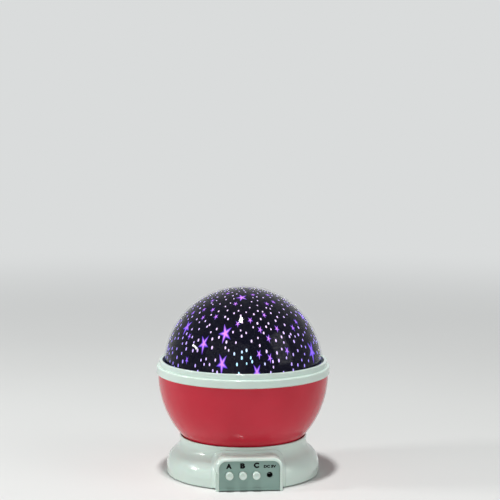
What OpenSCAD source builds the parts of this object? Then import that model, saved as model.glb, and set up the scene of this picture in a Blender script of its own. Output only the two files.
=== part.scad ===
// Star night light projector: a rotating bowl with a star dome on a round base.
// Millimetres, +Z up, origin on the floor below the turning axis, controls facing -Y.

/* [Base] */
// Widest radius of the foot
foot_r = 53.1; // [52:0.1:56]
// Outer radius at the neck rim
neck_r = 44.2; // [43.8:0.1:45.5]
// Height of the neck rim above the floor
neck_z = 27.4; // [26:0.1:29]
// Wall of the foot
foot_wall = 1.8; // [1.4:0.1:2.2]
// Wall of the neck rim
neck_wall = 1.2; // [1:0.1:1.5]
// Radius of the rounded shoulder
shoulder_r = 13.8; // [12.5:0.1:15]
// Height of the shoulder's centre
shoulder_z = 6.4; // [5.5:0.1:7.2]
// Radius of the hollow curve below the neck
throat_r = 8; // [6:0.5:10]
// Gap between the foot's edge and the floor
foot_gap = 0.5; // [0.3:0.1:0.8]
// Underside of the deck that carries the mechanism
deck_z = 16.4; // [16.2:0.1:17]
// Thickness of the deck
deck_t = 1.8; // [1.4:0.1:2]

/* [Control block] */
// Width of the block
block_w = 45; // [44:0.5:48]
// Height of the block's top face
block_z = 22.8; // [22:0.1:24]
// How far the block's front face stands out past the foot
block_out = 1.4; // [0.7:0.1:3.9]
// Radius of the block's top corners
block_corner = 7; // [6:0.5:9]
// Radius of the bead round the block's front edge
block_bead = 1.6; // [1:0.1:1.8]
// Width of the frame round the panel
frame_w = 2.1; // [2:0.1:2.6]
// Wall of the ledge behind the panel
ledge_w = 1.1; // [0.8:0.1:1.6]
// How deep the panel's face lies in its frame
panel_inset = 0.5; // [0.3:0.1:0.8]
// Thickness of the panel
panel_t = 1.8; // [1.5:0.1:2.2]
// Lower edge of the panel
panel_z = 0.8; // [0.6:0.1:1.2]
// Distance between neighbouring buttons
button_pitch = 9; // [8.6:0.1:9.4]
// Height of the button row
button_z = 11.1; // [10.5:0.1:11.6]
// Diameter of a button
button_d = 5.2; // [4.6:0.1:5.6]
// How far a button stands out of the panel
button_out = 3.2; // [2.5:0.1:4]
// Travel of a button
button_travel = 1; // [0.6:0.1:1]
// Diameter of the power socket's hole in the panel
jack_hole_d = 4.1; // [3.9:0.1:4.6]

/* [Bowl] */
// Outer radius of the bowl at its rim
bowl_r = 59; // [56:0.1:64]
// Height of the bowl's rim
bowl_rim_z = 70.4; // [69.5:0.1:72]
// Lower edge of the bowl, inside the neck
bowl_low_z = 22; // [21.5:0.1:23]
// Radius of the arc of the bowl's side
bowl_arc_r = 63.9; // [58:0.1:70]
// Wall of the bowl
bowl_wall = 1.8; // [1.5:0.1:2]
// Underside of the bowl's inner floor
web_z = 37.4; // [37:0.1:39]
// Thickness of the bowl's inner floor
web_t = 2; // [1.6:0.1:2.6]

/* [Ring and dome] */
// How far the ring's band stands out past the bowl
band_out = 1; // [0.6:0.1:2]
// Height of the ring's band
band_h = 5.8; // [5:0.1:7]
// Step from the band in to the lip
lip_step = 1.8; // [1.2:0.1:2.4]
// Height of the lip above the band
lip_h = 3.8; // [3:0.1:5]
// Wall of the lip
lip_wall = 2.2; // [1.9:0.1:2.6]
// Gap between the dome and the lip
dome_gap = 0.4; // [0.3:0.05:0.8]
// Height of the dome's centre above the bowl's rim
dome_rise = 5; // [4.5:0.1:6]
// Wall of the dome
dome_wall = 1.2; // [1:0.1:1.5]
// Thickness of the printed star layer
mask_t = 0.4; // [0.3:0.05:0.5]
// Point radius of the largest stars
star_r = 5; // [4:0.1:5.4]

/* [Drive] */
// Module of the gears
gear_module = 0.8; // [0.75:0.01:0.82]
// Teeth of the gear under the bowl
bowl_teeth = 48; // [46:1:49]
// Teeth of the reduction gear's small ring
small_teeth = 12; // [12:1:13]
// Teeth of the reduction gear's large ring
large_teeth = 30; // [28:1:31]
// Teeth of the motor's pinion
pinion_teeth = 12; // [12:1:13]
// Thinning of each tooth for play
tooth_play = 0.2; // [0.15:0.01:0.3]
// Radius of the hollow post
post_r = 5; // [4.8:0.1:5.2]
// Radial clearance of turning shafts
shaft_gap = 0.05; // [0.03:0.01:0.08]
// Radius of the motor's shaft and the gear pin
pin_r = 1.5; // [1.3:0.1:1.6]

/* [Battery compartment] */
// Diameter of a cell
cell_d = 10.3; // [10:0.1:10.4]
// Length of a cell with its nub
cell_l = 44.5; // [44:0.1:45]
// Number of cells side by side
cell_count = 4; // [3:1:4]
// Thickness of the bottom plate
plate_t = 2; // [1.8:0.1:2.2]
// Thickness of the battery door
door_t = 1.6; // [1.4:0.1:1.7]

/* [Hidden] */
$fn = 64;
slop = 0.01; // overrun of a cut past the face it opens
white = "#dfe8e4";
coral = "#d8425a";
copper = "#c8843c";

// Clearances
panel_gap = 0.15;   // panel in its frame
neck_gap = 0.35;    // turning bowl in the neck
flange_play = 0.1;  // buttons and dome, round and behind their flanges
button_gap = 0.25;  // button in its hole
plate_gap = 0.3;    // bottom plate in the foot
door_gap = 0.25;    // battery door in its opening
seat_gap = 0.05;    // parts that rest on each other across a joint
plug_gap = 0.35;    // ring's plug in the bowl
part_gap = 0.2;     // boards, motor and cells in their places
rim_gap = 0.3;      // reflector in the bowl

// Base levels
plate_up = 0.5;     // bottom plate above the foot's edge
plate_z = foot_gap + plate_up;
plate_top = plate_z + plate_t;
deck_top = deck_z + deck_t;
throat_x = neck_r + throat_r;
shoulder_x = foot_r - shoulder_r;
throat_z = shoulder_z + sqrt(pow(shoulder_r + throat_r, 2) - pow(throat_x - shoulder_x, 2));
join_angle = atan2(throat_z - shoulder_z, throat_x - shoulder_x);
foot_draft = 0.3;   // the foot is this much narrower at the floor
foot_edge = 1;      // radius of the foot's lower edge
plate_rim = 0.5;    // bottom plate inside the foot's wall
plate_r = foot_r - foot_draft - foot_wall - plate_rim;

// Control block
block_foot = 0.1;   // floor gap under the block's sides
block_y = foot_r + block_out;
opening_w = block_w - 2 * frame_w;
opening_z = block_z - frame_w;
opening_corner = block_corner - frame_w;
panel_face = block_y - panel_inset;
panel_back = panel_face - panel_t;
sill_out = 0.4;     // ledge along the panel's lower edge
sill_h = 1.7;
upper_cavity = 4.2; // depth behind the panel, up to its top
lower_cavity = 8;   // depth behind that, below the deck
block_root = 3;     // how far the block runs on into the foot
upper_cavity_y = panel_back - upper_cavity;
lower_cavity_y = upper_cavity_y - lower_cavity;
block_back = lower_cavity_y - block_root;
jack_x = 1.5 * button_pitch;
button_x = [-1.5 * button_pitch, -0.5 * button_pitch, 0.5 * button_pitch];
button_edge = 0.5;  // rounding of a button's rim
dish_r = 5;         // hollow of a button's face
dish_deep = 0.3;
flange_reach = 1;
flange_r = button_d / 2 + flange_reach;
flange_t = 1;
stem_r = 1.6;
stem_l = 1.4;
plunger_r = 1.75;
plunger_l = 2.9;
plunger_in = 1;     // how far a plunger reaches into its switch at rest
switch_w = 6;
switch_t = 3.5;
switch_bore_gap = 0.1;
switch_room = 0.3;  // left behind a pressed plunger
flange_back = panel_back - flange_play - flange_t;
plunger_front = flange_back - stem_l - flange_play;
switch_front = plunger_front - plunger_l + plunger_in;
board_front = switch_front - switch_t;
board_t = 1.6;
board_w = 37;
board_space = 1;    // board's top below the deck
board_z = plate_top + part_gap;
board_top = deck_z - board_space;
board_back = board_front - board_t;
rail_w = 1.6;
rail_depth = 1.2;
rail_h = 8;
pin_hole_r = 0.5;
pin_hole_at = [3.2, 2.2];
chip = [9, 1.6, 4.4];
driver = [3.2, 1.2, 2.6];
chip_up = 2;
capacitor_r = 2.5;
capacitor_l = 7;

// Power socket
socket_r = 3.1;
socket_bore = 1.8;      // takes a plug of 3.5 mm
socket_front = panel_back - part_gap;
socket_floor = 1;
socket_pin_r = 0.65;
socket_pin_back = 1.4; // pin's tip behind the socket's mouth

// Battery compartment
cell_space = 0.6;       // between neighbouring cells
cell_under = 0.85;      // below the cells
cell_over = 0.45;       // above the cells
cell_pitch = cell_d + cell_space;
box_wall = 1.2;
spring_l = 5.7;
spring_foot_r = 3.6;
spring_tip_r = 2.2;
spring_wire = 0.3;      // radius of the wire
spring_turns = 4;
cell_edge = 0.4;
cell_nub = 1;
cell_nub_r = 1.9;
contact_t = 0.4;
contact_w = cell_d - 2;
box_in_x = cell_l + spring_l + 2 * contact_t;
box_in_y = cell_count * cell_pitch;
box_front = -12.6;
box_mid_y = box_front + box_wall + box_in_y / 2;
cell_z = plate_z + door_t + cell_under + cell_d / 2;
box_top = cell_z + cell_d / 2 + cell_over;
hinge_r = plate_t / 2;
hinge_reach = 0.7;      // door's axis past the end of the box
hinge_x = box_in_x / 2 + hinge_reach;
hinge_z = plate_z + hinge_r;
hook_gap = 0.15;
hook_t = 0.95;
hook_w = 7;
hook_from = 60;         // a hook's arc, from the door over the hinge's edge
hook_arc = 130;
hook_r = hinge_r + hook_gap + hook_t;
hook_y = 13;
door_x1 = hinge_x - hinge_r - hook_gap;
door_x0 = -box_in_x / 2 + door_gap;
door_in_y = box_in_y - 2 * part_gap;
tab_w = 10;
tab_l = 7.2;
tab_x = -box_in_x / 2 - tab_l;
screw_x = tab_x + tab_l / 2;
tab_roof = 1.2;
tab_rim = 1;
grip_x = -6;
grip_l = 16;
grip_pitch = 2.4;
grip_deep = 0.5;
grip_count = 7;

// Screws
screw_r = 1.1;
screw_head_r = 2.2;
screw_head_t = 1.3;
screw_slot = 0.6;
hole_gap = 0.15;       // screw in the hole of the piece that it holds
head_gap = 0.2;        // screw's head in its recess
screw_sink = 0.2;      // how far the base's screws stand out of their recess
door_screw_deep = 0.9;
door_screw_z = plate_z + door_screw_deep;
door_screw_l = 3.6;
base_screw_at = foot_r - 10;
base_screw_l = 10;
base_screw_z = plate_z + screw_head_t - screw_sink;
base_screw_turn = 90;  // the base's screws are counted from the back
boss_r = 3.1;
foot_pad_r = 4;
foot_pad_at = foot_r - 9.1;
pad_edge = 0.5;
pad_seat = 0.6;

// Wires
wire_r = 0.4;
wire_pair = 0.9;        // between the two cores of a pair
wire_steps = 8;
wire_bend = 2;
wire_turn = -75;        // direction in which the lamps' pair leaves the post
wire_deck_z = (box_top + box_wall + deck_z) / 2;
wire_board_z = [14.2, 11.5, 13.6]; // lamps', motor's and cells' wires on the control board
solder_r = 0.7;
solder_t = 0.9;
battery_wire_x = 17;

// Bowl
// The bowl's side is one arc, from inside the neck's rim up to the bowl's rim
bowl_low = [neck_r - neck_wall - neck_gap, neck_z];
bowl_chord = [bowl_r, bowl_rim_z] - bowl_low;
bowl_centre = bowl_low + bowl_chord / 2
    + sqrt(pow(bowl_arc_r / norm(bowl_chord), 2) - 0.25) * [-bowl_chord[1], bowl_chord[0]];
reflector_drop = 10.4;
reflector_z = bowl_rim_z - reflector_drop;
reflector_t = 1.2;
reflector_sink = 3;
reflector_flat = 3;
reflector_hole = 1.5;   // round the lamps' board
ledge_reach = 1.8;
ledge_t = 1.4;
hub_r = 9.5;
hub_h = 8.6;
hub_top = web_z + hub_h;
bush_r = 7;
rib_count = 6;
rib_t = 1.6;
rib_h = 3;

// Gear train, from the floor of the deck upwards
gear_w = 2.6;
gear_hang = 5.6;        // bowl's gear below the bowl's floor
bowl_gear_z = web_z - gear_hang;
bowl_gear_w = 3;
gear_screw_at = 13.6;
gear_screw_turn = 30;
gear_screw_deep = 4;    // how far they reach into the bowl's bosses
gear_screw_sink = 0.5;
gear_screw_z = bowl_gear_z + screw_head_t + gear_screw_sink;
gear_boss_r = 16.8;
gear_space = 1;         // between the bowl's gear and the large ring
large_z = bowl_gear_z - gear_space - gear_w;
large_top = large_z + gear_w;
small_top = bowl_gear_z + bowl_gear_w + part_gap;
axle_boss_r = 4;
axle_floor = 0.8;       // left below the gear pin
axle_z = deck_z + axle_floor;
axle_boss_low = 0.8;    // pin's boss below the large ring
axle_boss_top = large_z - axle_boss_low;
spacer_wall = 1.2;
spacer_play = 0.1;
clip_t = 0.8;
clip_reach = 1.4;
axle_clip_slot = 1;
gear_rim = 1.4;         // rim of the reduction gear under its teeth
gear_hub = 2.2;
gear_dish = 1;
gear_holes = 5;
gear_hole_r = 1.5;
tooth_tip = 0.95;       // height of a tooth over the pitch circle, in modules
tooth_root = 1.25;      // depth of a gap under the pitch circle, in modules
pressure = 25;
flank_steps = 5;
reduction_angle = -140;
motor_angle = -15;
reduction_at = gear_module * (bowl_teeth + small_teeth) / 2;
motor_at = gear_module * (large_teeth + pinion_teeth) / 2;
reduction_xy = reduction_at * [cos(reduction_angle), sin(reduction_angle)];
motor_xy = reduction_xy + motor_at * [cos(motor_angle), sin(motor_angle)];
// A tooth of one gear stands in a gap of the other along the line of centres
reduction_phase = mesh_phase(0, bowl_teeth, reduction_angle, small_teeth);
pinion_phase = mesh_phase(reduction_phase, large_teeth, motor_angle, pinion_teeth);

// Motor
motor_w = 12;
motor_d = 10;
gearhead_h = 9;
motor_low = plate_top + part_gap;
motor_space = 1.2;      // motor's top below the pinion
motor_top = large_z - motor_space;
shaft_seat = 2;         // depth of the motor's bearing above its gearhead's floor
shaft_top = large_top + 0.3;
strap_t = 0.8;
strap_w = 8;
strap_foot = 4.6;

// Post
collar_r = 7.5;
washer_t = 0.45;
collar_top = bowl_gear_z - washer_t - seat_gap;
post_flange_r = 13;
post_flange_t = 2.2;
post_screw_at = 10.2;
post_bore = 3.2;
post_rise = 2.4;        // post's head above the reflector's rim
post_top = reflector_z + post_rise;
head_flange_r = 9;
head_flange_t = 1.5;
groove_depth = 0.6;
clip_r = 8;
clip_mouth = 6;
led_board_r = 12.5;
led_r = 2.5;
led_h = 5.5;
led_at = 6.4;
led_count = 4;
led_screw_at = 7.4;
led_screw_r = 0.8;
led_screw_head_r = 1.6;
led_foot = [0.3, 1];    // reach and height of a lamp's foot
wire_hole_r = 1.6;

// Ring and dome
band_round = 0.9;
lip_round = 0.5;
plug_h = 4;
plug_wall = 1.6;
shelf_t = 1.6;
shelf_reach = 2.2;
ring_r = bowl_r + band_out;
ring_z = bowl_rim_z + seat_gap;
lip_r = ring_r - lip_step;
lip_in = lip_r - lip_wall;
plug_r = min(bowl_radius(ring_z - plug_h, bowl_wall), bowl_radius(bowl_rim_z, bowl_wall)) - plug_gap;
dome_r = lip_in - dome_gap;
dome_z = bowl_rim_z + dome_rise;
dome_flange_t = 1.2;
mask_gap = 0.06;
mask_r = dome_r - dome_wall - mask_gap;
mask_rise = 1.6;
mask_low = ring_z + mask_rise;
dome_steps = 30;
film_stretch = 0.8;
star_waist = 0.42;  // inner corners of a star, as a share of its points' radius
// Stars as [direction from +X, height angle, share of star_r, turn]
stars = [
    [-110, 33, 1, -14], [-127, 24, 0.9, 3], [-110, 11, 0.9, -4], [-85, 5, 0.8, 0],
    [-98, 68, 0.85, -12], [-32, 15, 1, 0], [-15, 41, 0.9, 0], [-153, 34, 0.85, 0],
    [-100, 41, 0.4, 6], [-88, 44, 0.42, 0], [-80, 36, 0.42, 10], [-64, 36, 0.42, -8],
    [-74, 29, 0.42, 14], [-83, 18, 0.45, 4], [-75, 15, 0.45, 8], [-60, 19, 0.42, -6],
    [-124, 46, 0.4, 0], [-139, 44, 0.36, 14], [-133, 52, 0.4, 10], [-146, 51, 0.36, -6],
    [-160, 46, 0.36, 10], [-72, 48, 0.38, 0], [-46, 35, 0.42, 8], [-37, 39, 0.4, 4],
    [-144, 28, 0.36, 0], [-140, 11, 0.36, 0], [-106, 60, 0.4, 10], [-148, 61, 0.36, 0],
    [-60, 59, 0.4, 14], [-46, 60, 0.4, -4], [-137, 73, 0.4, 20], [-72, 72, 0.4, 10],
    [-36, 69, 0.4, 0]
];
// Rows over the rest of the dome: [height angle, number of stars]
star_rows = [[15, 8], [31, 7], [46, 5], [62, 3]];
row_size = [0.4, 0.9];  // smallest and largest of their stars, as shares of star_r
row_rise = 5;       // how far their stars lie above the row, in degrees
row_turn = 40;      // how far they are turned
rows_from = -12;    // the rows run round the back from here
rows_to = 192;

function polar(r, a) = [r * cos(a), r * sin(a)];
function arc(x, z, r, from, to, n) = [for (i = [0:n]) [x, z] + polar(r, from + (to - from) * i / n)];
function bowl_radius(z, inset) =
    sqrt(pow(bowl_arc_r - inset, 2) - pow(bowl_centre[1] - z, 2)) + bowl_centre[0];
function involute(a) = tan(a) * 180 / PI - a;
// Half the angle that a tooth covers at radius r
function tooth_half(n, r) =
    let (pitch_r = gear_module * n / 2, base_r = pitch_r * cos(pressure))
    90 / n - tooth_play / 2 / pitch_r * 180 / PI + involute(pressure)
    - involute(acos(min(1, base_r / r)));
function gear_points(n, phase) =
    let (
        pitch_r = gear_module * n / 2,
        root_r = pitch_r - tooth_root * gear_module,
        tip_r = pitch_r + tooth_tip * gear_module,
        low_r = max(root_r + slop, pitch_r * cos(pressure) + slop),
        root_half = 0.75 * tooth_half(n, low_r) + 0.25 * 180 / n,
        rs = [for (i = [0:flank_steps]) low_r + (tip_r - low_r) * i / flank_steps]
    )
    [for (t = [0:n - 1]) let (mid = phase + t * 360 / n) each concat(
        [polar(root_r, mid - root_half)],
        [for (r = rs) polar(r, mid - tooth_half(n, r))],
        [for (i = [flank_steps:-1:0]) polar(rs[i], mid + tooth_half(n, rs[i]))],
        [polar(root_r, mid + root_half)]
    )];
// Phase of a gear at direction a from a gear with phase p, so that the two mesh
function mesh_phase(p, n_from, a, n_to) = a + 180 - (0.5 - (a - p) * n_from / 360) * 360 / n_to;
// Star with one point hanging down
function star_points(r, turn, stretch) =
    [for (i = [0:9]) let (p = polar(i % 2 == 0 ? r : star_waist * r, turn - 90 + i * 36))
        [p[0], p[1] * stretch]];
// The printed film is stretched upright where it was drawn down over the dome's side
function upright(height) = 1 + film_stretch * pow(cos(height), 2);
// Share of a whole number taken from a sine, for an even but irregular spread
function scatter(i, seed) = let (s = sin(i * 78.233 + seed * 37.719) * 437.585) s - floor(s);
// Points of a smooth step from one point to another
function ease(from, to) = [for (i = [0:wire_steps]) let (t = i / wire_steps)
    [from[0] + (to[0] - from[0]) * t, from[1] + (to[1] - from[1]) * (1 - cos(180 * t)) / 2]];
// Faces of a tube through rings of n points, with its two ends closed
function tube_faces(rings, n) = concat(
    [for (i = [0:rings - 2], k = [0:n - 1]) let (a = n * i + k, b = n * i + (k + 1) % n)
        each [[a, b + n, a + n], [a, b, b + n]]],
    [[for (k = [n - 1:-1:0]) k], [for (k = [0:n - 1]) n * (rings - 1) + k]]
);

// Helpers
module at_buttons() {
    for (x = button_x)
        translate([x, 0, button_z]) children();
}
module facing_front(y) {
    translate([0, -y, 0]) rotate([90, 0, 0]) children();
}
module ring_of(n, r, start = 0) {
    for (i = [0:n - 1])
        rotate(start + i * 360 / n) translate([r, 0, 0]) children();
}
// Upright outline with rounded top corners, in x and z
module arch(w, low, top, corner) {
    translate([-w / 2, low]) square([w, top - low - corner]);
    translate([-w / 2 + corner, low]) square([w - 2 * corner, top - low]);
    for (side = [-1, 1])
        translate([side * (w / 2 - corner), top - corner]) circle(corner);
}
module arch_slab(y_front, y_back, w, low, top, corner) {
    facing_front(y_back) linear_extrude(y_front - y_back) arch(w, low, top, corner);
}
// Pan head screw pointing up, with its head's underside at the origin
module screw(l, head_r = screw_head_r, r = screw_r) {
    cylinder(r = r, h = l);
    difference() {
        translate([0, 0, -screw_head_t]) cylinder(r = head_r, h = screw_head_t);
        for (a = [0, 90])
            rotate(a) translate([0, 0, -screw_head_t])
                cube([1.5 * head_r, screw_slot, screw_slot * 2], center = true);
    }
}
module screw_down(l) {
    mirror([0, 0, 1]) screw(l);
}

// Base -----------------------------------------------------------------------
// Half section of the foot from the floor to the neck, drawn in by inset
module foot_profile(inset) {
    edge_x = foot_r - foot_draft - foot_edge;
    polygon(concat(
        [[0, foot_gap]],
        arc(edge_x - inset, foot_gap + foot_edge, foot_edge, -90, 0, 3),
        arc(shoulder_x, shoulder_z, shoulder_r - inset, 0, join_angle, 10),
        arc(throat_x, throat_z, throat_r + inset, join_angle + 180, 180, 8),
        [[neck_r - inset, neck_z - neck_wall / 2], [0, neck_z - neck_wall / 2]]
    ));
}
module block_body() {
    bead_y = block_y - block_bead;
    inner_w = block_w - 2 * block_bead;
    corner_x = block_w / 2 - block_corner;
    corner_z = block_z - block_corner;
    arch_slab(bead_y, block_back, block_w, block_foot, block_z, block_corner);
    arch_slab(block_y, bead_y - slop, inner_w, block_foot, block_z - block_bead, block_corner - block_bead);
    for (side = [-1, 1]) {
        translate([side * inner_w / 2, -bead_y, block_foot])
            cylinder(r = block_bead, h = corner_z - block_foot);
        translate([side * corner_x, -bead_y, corner_z]) rotate([90, 0, 0])
            rotate_extrude() translate([block_corner - block_bead, 0]) circle(block_bead);
    }
    translate([-corner_x, -bead_y, block_z - block_bead]) rotate([0, 90, 0])
        cylinder(r = block_bead, h = 2 * corner_x);
}
module below_deck() {
    rotate_extrude() intersection() {
        foot_profile(foot_wall);
        translate([0, -slop]) square([foot_r, deck_z + slop]);
    }
    translate([0, 0, -slop]) cylinder(r = plate_r + plate_gap, h = foot_gap + foot_edge);
}
module above_deck() {
    rotate_extrude() intersection() {
        foot_profile(neck_wall);
        translate([0, deck_top]) square([foot_r, neck_z]);
    }
    translate([0, 0, throat_z]) cylinder(r = neck_r - neck_wall, h = neck_z);
}
module base_shell() {
    color(white) difference() {
        union() {
            difference() {
                union() {
                    rotate_extrude() foot_profile(0);
                    translate([0, 0, neck_z - neck_wall / 2]) rotate_extrude()
                        translate([neck_r - neck_wall / 2, 0]) circle(neck_wall / 2);
                    block_body();
                }
                below_deck();
                above_deck();
                arch_slab(block_y + slop, panel_back, opening_w, -slop, opening_z, opening_corner);
                arch_slab(panel_back + slop, upper_cavity_y, opening_w - 2 * ledge_w, -slop,
                    opening_z - ledge_w, opening_corner - ledge_w);
                translate([-opening_w / 2 + ledge_w, -upper_cavity_y - slop, -slop])
                    cube([opening_w - 2 * ledge_w, upper_cavity_y - lower_cavity_y, deck_z]);
            }
            translate([reduction_xy[0], reduction_xy[1], deck_top - slop])
                cylinder(r = axle_boss_r, h = axle_boss_top - deck_top + slop);
            ring_of(3, base_screw_at, base_screw_turn) translate([0, 0, plate_top])
                cylinder(r = boss_r, h = deck_z - plate_top + slop);
        }
        ring_of(3, base_screw_at, base_screw_turn) translate([0, 0, plate_top - slop])
            cylinder(r = screw_r, h = base_screw_l);
        translate([reduction_xy[0], reduction_xy[1], axle_z])
            cylinder(r = pin_r, h = axle_boss_top);
        translate([motor_xy[0], motor_xy[1], deck_z + deck_t / 2])
            cube([motor_w + 2 * part_gap, motor_d + 2 * part_gap, deck_t + 2 * slop], center = true);
        ring_of(3, post_screw_at, 90) translate([0, 0, deck_z - slop])
            cylinder(r = screw_r, h = deck_t + 2 * slop);
        strap_screw_places() translate([0, 0, deck_z - slop]) cylinder(r = screw_r, h = deck_t + 2 * slop);
        translate([0, 0, deck_z - slop]) cylinder(r = post_bore, h = deck_t + 2 * slop);
    }
}
module plate_outline() {
    w = opening_w - 2 * ledge_w - 2 * plate_gap;
    circle(plate_r);
    translate([-w / 2, -panel_back + part_gap]) square([w, panel_back - part_gap]);
}
module base_bottom() {
    out_x = box_in_x + 2 * box_wall;
    out_y = box_in_y + 2 * box_wall;
    color(white) difference() {
        union() {
            difference() {
                translate([0, 0, plate_z]) linear_extrude(plate_t) plate_outline();
                translate([-box_in_x / 2, box_mid_y - box_in_y / 2, plate_z - slop])
                    cube([box_in_x / 2 + hinge_x, box_in_y, plate_t + 2 * slop]);
            }
            difference() {
                translate([-out_x / 2, box_mid_y - out_y / 2, plate_top - slop])
                    cube([out_x, out_y, box_top + box_wall - plate_top + slop]);
                translate([-box_in_x / 2, box_mid_y - box_in_y / 2, plate_top - 2 * slop])
                    cube([box_in_x, box_in_y, box_top - plate_top + 2 * slop]);
                for (side = [-1, 1])
                    translate([hinge_x, box_mid_y + side * hook_y, hinge_z]) rotate([90, 0, 0])
                        cylinder(r = hook_r + door_gap, h = hook_w + 2 * door_gap, center = true);
            }
            translate([hinge_x, box_mid_y + box_in_y / 2, hinge_z]) rotate([90, 0, 0])
                cylinder(r = hinge_r, h = box_in_y);
            translate([screw_x, box_mid_y, plate_z + door_t + door_gap])
                cylinder(r = boss_r, h = door_screw_l + tab_roof);
            translate([tab_x - tab_rim, box_mid_y - tab_w / 2 - tab_rim, plate_z + door_t + door_gap])
                cube([tab_rim - box_in_x / 2 - tab_x, tab_w + 2 * tab_rim, tab_roof]);
            for (side = [-1, 1])
                translate([side * (board_w / 2 - rail_depth + rail_w) - rail_w / 2, -board_front - rail_w,
                    plate_top - slop])
                    cube([rail_w, board_t + 2 * rail_w, rail_h]);
        }
        translate([tab_x, box_mid_y - tab_w / 2 - door_gap, plate_z - slop])
            cube([tab_rim - box_in_x / 2 - tab_x, tab_w + 2 * door_gap, door_t + door_gap + slop]);
        translate([screw_x, box_mid_y, plate_z]) cylinder(r = screw_r, h = door_screw_l + tab_roof);
        ring_of(3, base_screw_at, base_screw_turn) translate([0, 0, plate_z - slop]) {
            cylinder(r = screw_r + hole_gap, h = plate_t + 2 * slop);
            cylinder(r = screw_head_r + head_gap, h = base_screw_z - plate_z + slop);
        }
        ring_of(4, foot_pad_at, 45) translate([0, 0, plate_z - slop])
            cylinder(r = foot_pad_r + part_gap, h = pad_seat + slop);
        translate([-board_w / 2 - part_gap, -board_front - part_gap, plate_top])
            cube([board_w + 2 * part_gap, board_t + 2 * part_gap, deck_z]);
    }
}
module rubber_feet() {
    color("#4a4d4f") ring_of(4, foot_pad_at, 45) rotate_extrude() {
        square([foot_pad_r - pad_edge, plate_z + pad_seat]);
        translate([0, pad_edge]) square([foot_pad_r, plate_z + pad_seat - pad_edge]);
        translate([foot_pad_r - pad_edge, pad_edge]) circle(pad_edge);
    }
}
module base_screws() {
    color("silver") ring_of(3, base_screw_at, base_screw_turn) translate([0, 0, base_screw_z])
        screw(base_screw_l - screw_head_t);
}

// Batteries ------------------------------------------------------------------
module battery_door() {
    color(white) difference() {
        union() {
            translate([door_x0, box_mid_y - door_in_y / 2, plate_z])
                cube([door_x1 - door_x0, door_in_y, door_t]);
            translate([tab_x + door_gap, box_mid_y - tab_w / 2, plate_z])
                cube([door_x0 - tab_x, tab_w, door_t]);
            for (side = [-1, 1])
                translate([hinge_x, box_mid_y + side * hook_y, hinge_z]) rotate([90, 0, 0])
                    rotate_hook();
        }
        translate([screw_x, box_mid_y, plate_z - slop]) {
            cylinder(r = screw_r + hole_gap, h = door_t + 2 * slop);
            cylinder(r = screw_head_r + head_gap, h = door_screw_z - plate_z + slop);
        }
        for (i = [0:grip_count - 1])
            translate([grip_x, box_mid_y + (i - (grip_count - 1) / 2) * grip_pitch, plate_z]) grip_groove();
    }
}
// Groove for a thumb, with round ends
module grip_groove() {
    groove_r = grip_pitch / 5;
    translate([0, -groove_r, -slop]) cube([grip_l, 2 * groove_r, grip_deep + slop]);
    for (x = [0, grip_l])
        translate([x, 0, -slop]) cylinder(r = groove_r, h = grip_deep + slop);
}
// Arc that wraps the rounded edge of the opening, from the door over the top
module rotate_hook() {
    translate([0, 0, -hook_w / 2]) rotate_extrude(angle = hook_arc, start = hook_from)
        translate([hinge_r + hook_gap, 0]) square([hook_t, hook_w]);
}
module door_screw() {
    color("silver") translate([screw_x, box_mid_y, door_screw_z]) screw(door_screw_l);
}
// Children lie along every cell's axis, each cell turned end for end from the last
module along_cells() {
    for (i = [0:cell_count - 1])
        translate([0, box_mid_y + (i - (cell_count - 1) / 2) * cell_pitch, cell_z])
            rotate([0, i % 2 == 0 ? 90 : -90, 0]) children();
}
module battery_cells() {
    color("#3c6e8f") along_cells() translate([0, 0, box_in_x / 2 - contact_t - cell_l]) {
        rotate_extrude() {
            translate([0, cell_edge]) square([cell_d / 2, cell_l - cell_nub - 2 * cell_edge]);
            square([cell_d / 2 - cell_edge, cell_l - cell_nub]);
        }
        cylinder(r = cell_nub_r, h = cell_l);
    }
}
// Points of a ring of the spring's wire, at turn t of a tapering coil
function coil_ring(t, turns, l, r0, r1, wire) =
    let (a = 360 * turns * t, mid_r = r0 + (r1 - r0) * t, mid_z = wire + (l - 2 * wire) * t)
    [for (k = [0:5]) let (r = mid_r + wire * cos(60 * k))
        [r * cos(a), r * sin(a), mid_z + wire * sin(60 * k)]];
module coil(l, r0, r1, wire, turns) {
    n = 12 * turns;
    points = [for (i = [0:n]) each coil_ring(i / n, turns, l, r0, r1, wire)];
    polyhedron(points, tube_faces(n + 1, 6));
}
module battery_springs() {
    color("silver") along_cells() translate([0, 0, -box_in_x / 2 + contact_t])
        coil(spring_l, spring_foot_r, spring_tip_r, spring_wire, spring_turns);
}
module battery_contacts() {
    color("silver") along_cells()
        for (end = [-1, 1])
            translate([0, 0, end * (box_in_x - contact_t) / 2])
                cube([contact_w, contact_w, contact_t], center = true);
}

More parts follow.
